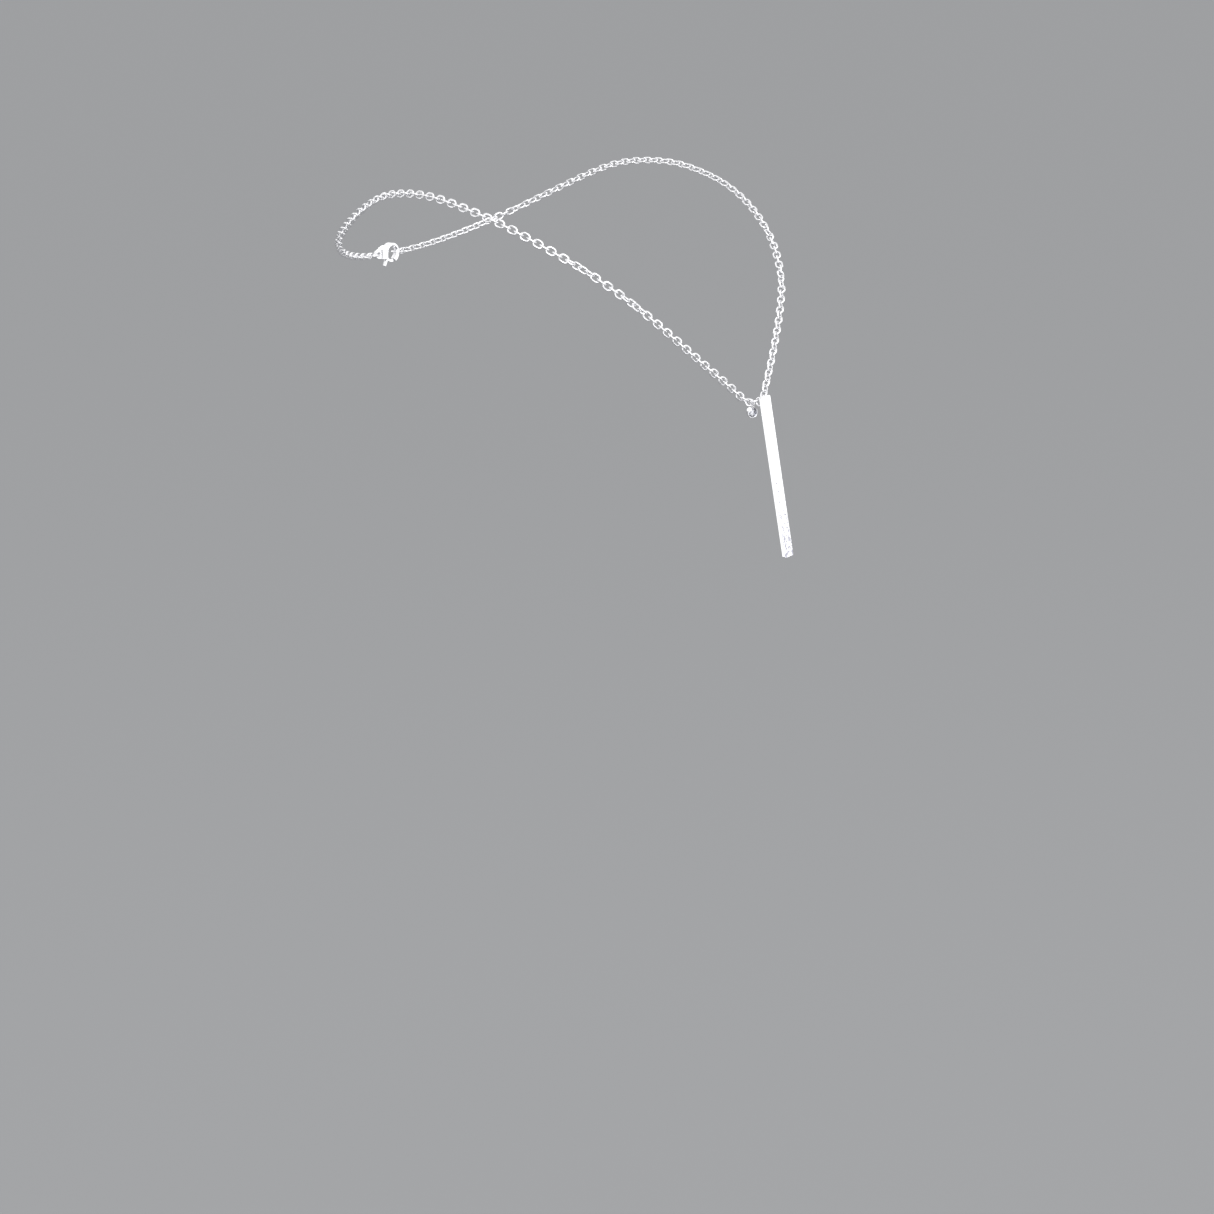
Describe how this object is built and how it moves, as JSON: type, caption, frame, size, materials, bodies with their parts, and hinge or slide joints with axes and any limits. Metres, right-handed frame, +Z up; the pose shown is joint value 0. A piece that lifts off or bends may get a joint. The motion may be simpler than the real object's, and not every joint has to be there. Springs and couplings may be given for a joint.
{
  "type": "pendant necklace",
  "caption": "Fine cable chain necklace with a slim upright bar pendant, a tiny bezel-set crystal charm beside it and a lobster clasp at the nape, in bright silver finish.",
  "frame": {"origin": "middle of the wearer's neck, between the two highest stretches of chain, where the necklace rests on the shoulders", "axes": "+Z up, the wearer faces -Y, +X is the wearer's left"},
  "size_m": [0.1026, 0.1308, 0.089],
  "materials": {
    "polished_silver": "bright polished, rhodium-plated silver",
    "satin_bar": "bright polished with a fine satin towards the lower end",
    "crystal": "clear, brilliant cut",
    "spring_steel": "plain spring steel"
  },
  "bodies": {
    "side_chain": {"right_side_chain": "polished_silver", "left_side_chain": "polished_silver"},
    "front_chain_4": {"right_front_chain_4": "polished_silver", "left_front_chain_4": "polished_silver"},
    "front_chain_3": {"right_front_chain_3": "polished_silver", "left_front_chain_3": "polished_silver"},
    "front_chain_2": {"right_front_chain_2": "polished_silver", "left_front_chain_2": "polished_silver"},
    "front_chain_1": {"right_end_link": "polished_silver", "left_end_link": "polished_silver", "right_front_chain_1": "polished_silver", "left_front_chain_1": "polished_silver"},
    "bar": {"pendant_bar": "satin_bar", "bar_loops": "polished_silver"},
    "charm_ring": {"charm_jump_ring": "polished_silver"},
    "charm": {"charm_bezel": "polished_silver", "charm_stone": "crystal"},
    "nape_chain_1": {"right_nape_chain_1": "polished_silver", "left_nape_chain_1": "polished_silver"},
    "nape_chain_2": {"right_nape_chain_2": "polished_silver", "left_nape_chain_2": "polished_silver", "right_nape_link": "polished_silver", "left_nape_link": "polished_silver"},
    "clasp": {"clasp_jump_ring": "polished_silver", "clasp_body": "polished_silver", "clasp_pin": "polished_silver", "clasp_spring": "spring_steel", "end_ring": "polished_silver"},
    "clasp_lever": {"clasp_lever": "polished_silver"}
  },
  "joints": [
    {"name": "front_lift_4", "type": "hinge", "parent": "side_chain", "child": "front_chain_4", "pos_m": [0, -0.00718, -0.0021], "axis": [-1, 0, 0], "range_deg": [0, 25]},
    {"name": "front_lift_3", "type": "hinge", "parent": "front_chain_4", "child": "front_chain_3", "pos_m": [0, -0.02653, -0.01085], "axis": [-1, 0, 0], "range_deg": [0, 20]},
    {"name": "front_lift_2", "type": "hinge", "parent": "front_chain_3", "child": "front_chain_2", "pos_m": [0, -0.04097, -0.02305], "axis": [-1, 0, 0], "range_deg": [0, 20]},
    {"name": "front_lift_1", "type": "hinge", "parent": "front_chain_2", "child": "front_chain_1", "pos_m": [0, -0.04916, -0.03724], "axis": [-1, 0, 0], "range_deg": [0, 20]},
    {"name": "bar_lift", "type": "hinge", "parent": "front_chain_1", "child": "bar", "pos_m": [0, -0.05624, -0.04892], "axis": [-1, 0, 0], "range_deg": [0, 60]},
    {"name": "charm_ring_swing", "type": "hinge", "parent": "front_chain_1", "child": "charm_ring", "pos_m": [-0.0015, -0.05459, -0.04961], "axis": [1, 0, 0], "range_deg": [-20, 20]},
    {"name": "charm_swing", "type": "hinge", "parent": "charm_ring", "child": "charm", "pos_m": [-0.0015, -0.05459, -0.05035], "axis": [0, 1, 0], "range_deg": [-15, 15]},
    {"name": "nape_lift_1", "type": "hinge", "parent": "side_chain", "child": "nape_chain_1", "pos_m": [0, 0.04158, -0.01022], "axis": [1, 0, 0], "range_deg": [0, 20]},
    {"name": "nape_lift_2", "type": "hinge", "parent": "nape_chain_1", "child": "nape_chain_2", "pos_m": [0, 0.05739, -0.01944], "axis": [1, 0, 0], "range_deg": [0, 10]},
    {"name": "clasp_turn", "type": "hinge", "parent": "nape_chain_2", "child": "clasp", "pos_m": [0, 0.06392, -0.02324], "axis": [1, 0, 0], "range_deg": [-5, 35]},
    {"name": "clasp_lever_pivot", "type": "hinge", "parent": "clasp", "child": "clasp_lever", "pos_m": [0.00003, 0.06392, -0.02274], "axis": [0, 1, 0], "range_deg": [0, 20], "stiffness_Nm_per_rad": 0.004, "springref_deg": -11.46}
  ]
}
